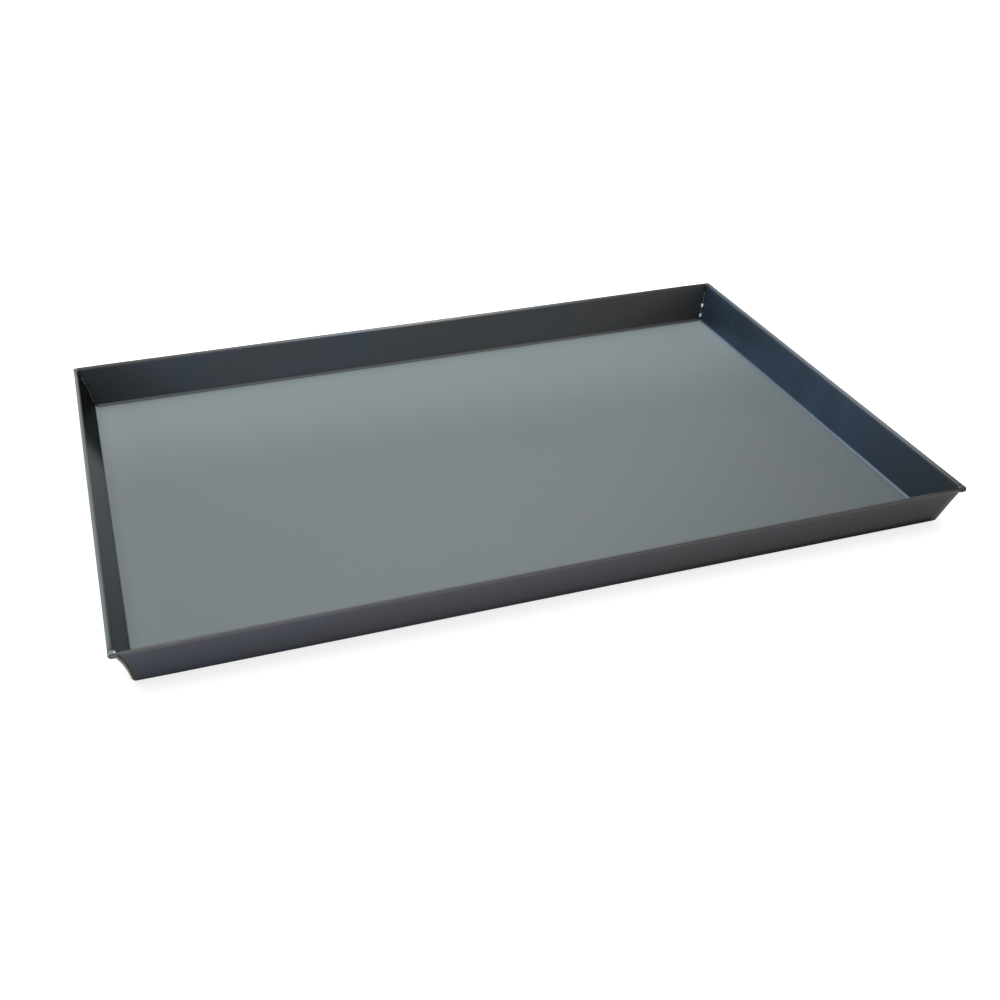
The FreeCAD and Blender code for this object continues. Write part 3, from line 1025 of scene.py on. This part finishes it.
def heat_colours(nodes, place, split, inner_share, heat_place):
    """Colour of the heat marks beside a weld, from the weld outwards."""
    inner = nodes.ramp(heat_place, (
        (0.10, (0.018, 0.026, 0.032)),
        (0.40, (0.030, 0.050, 0.065)),
        (0.90, (0.048, 0.080, 0.115)),
    ))
    outer = nodes.ramp(heat_place, (
        (0.10, (0.076, 0.080, 0.072)),
        (0.50, (0.066, 0.069, 0.063)),
        (0.90, (0.050, 0.050, 0.050)),
    ))
    outer = nodes.dimmed(outer, nodes.remap(split.outputs["X"], *HEAT_OUTER))
    inner = nodes.dimmed(inner, nodes.remap(split.outputs["X"], *HEAT_INNER))
    # Smoke and painted shade darken the inner heat marks too.
    inner = nodes.mix(nodes.painted("smoke"), inner, SOOT_AND_SHADE)
    grit = nodes.remap(nodes.noise(place, 900.0, 3.0, 0.7), 0.35, 0.65, 0.9, 1.08)
    return nodes.dimmed(nodes.mix(inner_share, outer, inner), grit)


def blued_steel():
    """Satin heat-blued sheet: cloudy grey-blue, rolling lines, and heat marks beside the welds."""
    material, nodes, place = start_material("blued_steel")
    distance, split = corner_distance(nodes, place)
    flat_share = nodes.painted("flat")
    inner_share = facing_up(nodes, place)

    ragged = nodes.noise(place, 220.0, 3.0, 0.6)
    near = nodes.maths("MULTIPLY_ADD", nodes.maths("SUBTRACT", ragged, 0.5), HEAT_RAGGED, distance)
    heat = nodes.remap(near, *HEAT_FADE)
    heat_place = nodes.maths("MULTIPLY", near, 1 / HEAT_WIDTH)
    on_wall = nodes.maths("SUBTRACT", 1.0, flat_share)
    heat_colour = heat_colours(nodes, place, split, inner_share, heat_place)
    wall_colour = wall_colours(nodes, place, split, inner_share)
    wall_colour = nodes.mix(nodes.maths("MULTIPLY", heat, on_wall), wall_colour, heat_colour)
    colour = nodes.mix(flat_share, wall_colour, flat_colours(nodes, place, split))

    lines = nodes.noise(nodes.stretched(place, (6.0, 900.0, 900.0)), 1.0, 3.0, 0.6)
    grain = nodes.noise(place, 2600.0, 2.0, 0.6)
    patches = nodes.noise(place, 11.0, 2.0, 0.5)
    roughness = 0.27
    for share, rougher in ((patches, 0.10), (lines, 0.05), (heat, 0.15), (flat_share, 0.12)):
        roughness = nodes.maths("MULTIPLY_ADD", share, rougher, roughness)
    height = nodes.maths("MULTIPLY_ADD", lines, 0.5, nodes.maths("MULTIPLY", grain, 0.5))
    metallic = nodes.maths("MULTIPLY_ADD", flat_share, FLOOR_METAL - WALL_METAL, WALL_METAL)
    # Glancing reflections are dimmed where smoke and painted shade are.
    inner_tint = nodes.mix(nodes.painted("smoke"), WHITE, (0.04, 0.04, 0.04, 1))
    # Painted shade: glancing reflections on the outer faces are dimmed, most of all near the foot, in
    # place of the shaded floor they face.
    low = nodes.remap(split.outputs["Z"], 9 * MM, 2 * MM)
    outer_tint = nodes.mix(low, (0.6, 0.6, 0.6, 1), (0.1, 0.1, 0.1, 1))
    edge_tint = nodes.mix(inner_share, outer_tint, inner_tint)
    finish_material(nodes, colour, roughness, height, 0.12, metallic, edge_tint)
    return material


def cut_steel():
    """Sheared edge of the sheet: dark oxide with short vertical shear marks and rubbed high spots."""
    material, nodes, place = start_material("cut_steel")
    wear = nodes.noise(place, 60.0, 4.0, 0.6)
    colour = nodes.ramp(wear, toned(CUT_TONE, (
        (0.35, (0.85, 0.85, 0.85)),
        (0.60, (1.05, 1.04, 1.02)),
        (0.78, (1.60, 1.58, 1.52)),
    )))
    split = nodes.add("ShaderNodeSeparateXYZ", {"Vector": place})
    # Painted light and shade: the cut edge is lighter towards the left and darker towards the right.
    colour = nodes.dimmed(colour, nodes.remap(split.outputs["X"], *CUT_PAINTED_SHADE_RIGHT))
    marks = nodes.noise(nodes.stretched(place, (2500.0, 2500.0, 300.0)), 1.0, 2.0, 0.5)
    roughness = nodes.maths("MULTIPLY_ADD", marks, 0.2, 0.38)
    finish_material(nodes, colour, roughness, marks, 0.3)
    return material


def seam_steel():
    """Metal of the outside seams: dull scaly grey, with painted shade almost black down in the undercut.
    """
    material, nodes, place = start_material("seam_steel")
    blotch = nodes.noise(place, 260.0, 4.0, 0.6, 0.5)
    colour = nodes.ramp(blotch, toned(SEAM_TONE, (
        (0.30, (0.75, 0.76, 0.74)),
        (0.52, (1.00, 1.00, 0.97)),
        (0.72, (1.35, 1.34, 1.30)),
    )))
    # Painted shade in the undercut, darker the deeper it is, and the black gap between the walls.
    colour = nodes.mix(nodes.painted("groove"), colour, (0.01, 0.01, 0.01, 1))
    scale = nodes.noise(place, 1800.0, 3.0, 0.7)
    roughness = nodes.maths("MULTIPLY_ADD", blotch, 0.12, 0.42)
    finish_material(nodes, colour, roughness, scale, 0.45, 0.7)
    return material


def bead_steel():
    """Metal of the beads and tacks: dark heat-tinted scale, with painted highlights of bright colour and
    less metal where painted.
    """
    material, nodes, place = start_material("bead_steel")
    blotch = nodes.noise(place, 300.0, 4.0, 0.6, 0.5)
    scale_colour = nodes.ramp(blotch, (
        (0.30, (0.032, 0.036, 0.040)),
        (0.50, (0.050, 0.054, 0.056)),
        (0.72, (0.080, 0.082, 0.080)),
    ))
    shine = nodes.painted("shine")
    # Painted highlights: bright colour, with less metal, where glints and specks are painted on.
    colour = nodes.mix(shine, scale_colour, (0.5, 0.6, 0.65, 1))
    scale = nodes.noise(place, 1800.0, 3.0, 0.7)
    roughness = nodes.maths("MULTIPLY_ADD", blotch, 0.15, 0.42)
    metallic = nodes.maths("MULTIPLY_ADD", shine, -0.6, 0.95)
    finish_material(nodes, colour, roughness, scale, 0.4, metallic)
    return material


def pale_floor_material():
    """Matt pale studio floor, lit a little from within, with a barely visible mottle."""
    material, nodes, place = start_material("pale_floor")
    mottle = nodes.noise(place, 3.0, 2.0)
    colour = nodes.ramp(mottle, toned(STAGE_TONE, (
        (0.3, (0.99, 0.99, 0.99)),
        (0.7, (1.01, 1.01, 1.01)),
    )))
    shader = finish_material(nodes, colour, 0.9, mottle, 0.0, metallic=0.0)
    shader.inputs["Specular IOR Level"].default_value = 0.0
    shader.inputs["Emission Color"].default_value = WHITE
    shader.inputs["Emission Strength"].default_value = STAGE_GLOW
    return material


# ---------------------------------------------------------------- camera, stage and light

# The camera was fitted to the photograph with the pan's width taken as 400 mm. The picture alone also
# fits a wider pan, so it doesn't show that the width is right.
CAMERA_PLACE = Vector((-0.2694, -0.8045, 0.5004))
CAMERA_TARGET = Vector((-0.0286, -0.0589, 0.0))
CAMERA_ROLL = math.radians(-0.18)
CAMERA_LENS = 44.36
CAMERA_SHIFT = (0.0295, 0.0037)
SENSOR_WIDTH = 36
CLIP = (0.05, 50)
STAGE_HALF = 6.0


def make_camera():
    """Camera at the photograph's viewing angle."""
    data = bpy.data.cameras.new("camera")
    data.sensor_width = SENSOR_WIDTH
    data.lens = CAMERA_LENS
    data.shift_x, data.shift_y = CAMERA_SHIFT
    data.clip_start, data.clip_end = CLIP
    camera = bpy.data.objects.new("camera", data)
    bpy.context.scene.collection.objects.link(camera)
    turn = (CAMERA_TARGET - CAMERA_PLACE).to_track_quat("-Z", "Y")
    roll = Matrix.Rotation(CAMERA_ROLL, 4, "Z")
    camera.matrix_world = Matrix.Translation(CAMERA_PLACE) @ turn.to_matrix().to_4x4() @ roll
    bpy.context.scene.camera = camera


def make_stage():
    """Wide pale floor that the pan stands on."""
    mesh = bpy.data.meshes.new("stage_floor")
    corners = [(x * STAGE_HALF, y * STAGE_HALF, 0) for x, y in ((-1, -1), (1, -1), (1, 1), (-1, 1))]
    mesh.from_pydata(corners, [], [(0, 1, 2, 3)])
    mesh.materials.append(pale_floor_material())
    floor = bpy.data.objects.new("stage_floor", mesh)
    bpy.context.scene.collection.objects.link(floor)


def add_softbox(name, place, target, size, power):
    """Rectangular area light that points at a target."""
    data = bpy.data.lights.new(name, "AREA")
    data.shape = "RECTANGLE"
    data.size, data.size_y = size
    data.energy = power
    light = bpy.data.objects.new(name, data)
    bpy.context.scene.collection.objects.link(light)
    place = Vector(place)
    turn = (Vector(target) - place).to_track_quat("-Z", "Y")
    light.matrix_world = Matrix.Translation(place) @ turn.to_matrix().to_4x4()
    light.visible_camera = False


# Each softbox: where it is, where it points, its width and height, and its power.
SOFTBOXES = {
    "softbox_near": ((-0.1, 0.25, 0.6), (-0.1, 0.26, 0), (1.1, 0.8), 5),
    "softbox_top": ((0.0, 0.5, 2.2), (0, 0, 0), (3.0, 2.4), 40),
}
# The room: brightness by how high one looks, behind and in front of the pan, how soft the change
# between the two is, and how it dims to the right.
ROOM_BEHIND = ((0.0, 0.8), (0.45, 0.8), (0.65, 0.7), (1.0, 0.8))
ROOM_AHEAD = ((0.0, 0.25), (0.25, 0.6), (0.6, 1.1), (1.0, 0.8))
ROOM_CHANGE = (-0.35, 0.35)
ROOM_DIMMER = (0.25, 0.75, 1.0, 0.6)


def make_light():
    """Soft studio light: a bright sweep behind, a dimmer room in front, and two large softboxes."""
    for name, facts in SOFTBOXES.items():
        add_softbox(name, *facts)
    world = bpy.data.worlds.new("room")
    bpy.context.scene.world = world
    world.use_nodes = True
    nodes = Nodes(world.node_tree)
    direction = nodes.add("ShaderNodeTexCoord").outputs["Generated"]
    split = nodes.add("ShaderNodeSeparateXYZ", {"Vector": direction})
    behind = nodes.ramp(split.outputs["Z"], [(z, (g, g, g)) for z, g in ROOM_BEHIND])
    ahead = nodes.ramp(split.outputs["Z"], [(z, (g, g, g)) for z, g in ROOM_AHEAD])
    background = nodes.add("ShaderNodeBackground", {
        "Color": nodes.mix(nodes.remap(split.outputs["Y"], *ROOM_CHANGE), ahead, behind),
        "Strength": nodes.remap(split.outputs["X"], *ROOM_DIMMER),
    })
    output = nodes.add("ShaderNodeOutputWorld")
    nodes.tree.links.new(background.outputs["Background"], output.inputs["Surface"])


# ---------------------------------------------------------------- build

make_camera()
make_stage()
make_light()

make_sheet(blued_steel(), cut_steel())

seam_metal = seam_steel()
bead_metal = bead_steel()
for corner_name in CORNERS:
    make_seam_weld(corner_name, seam_metal)
    make_inner_bead(corner_name, bead_metal)
    make_rim_tack(corner_name, bead_metal)

bpy.context.scene.view_settings.view_transform = "Standard"
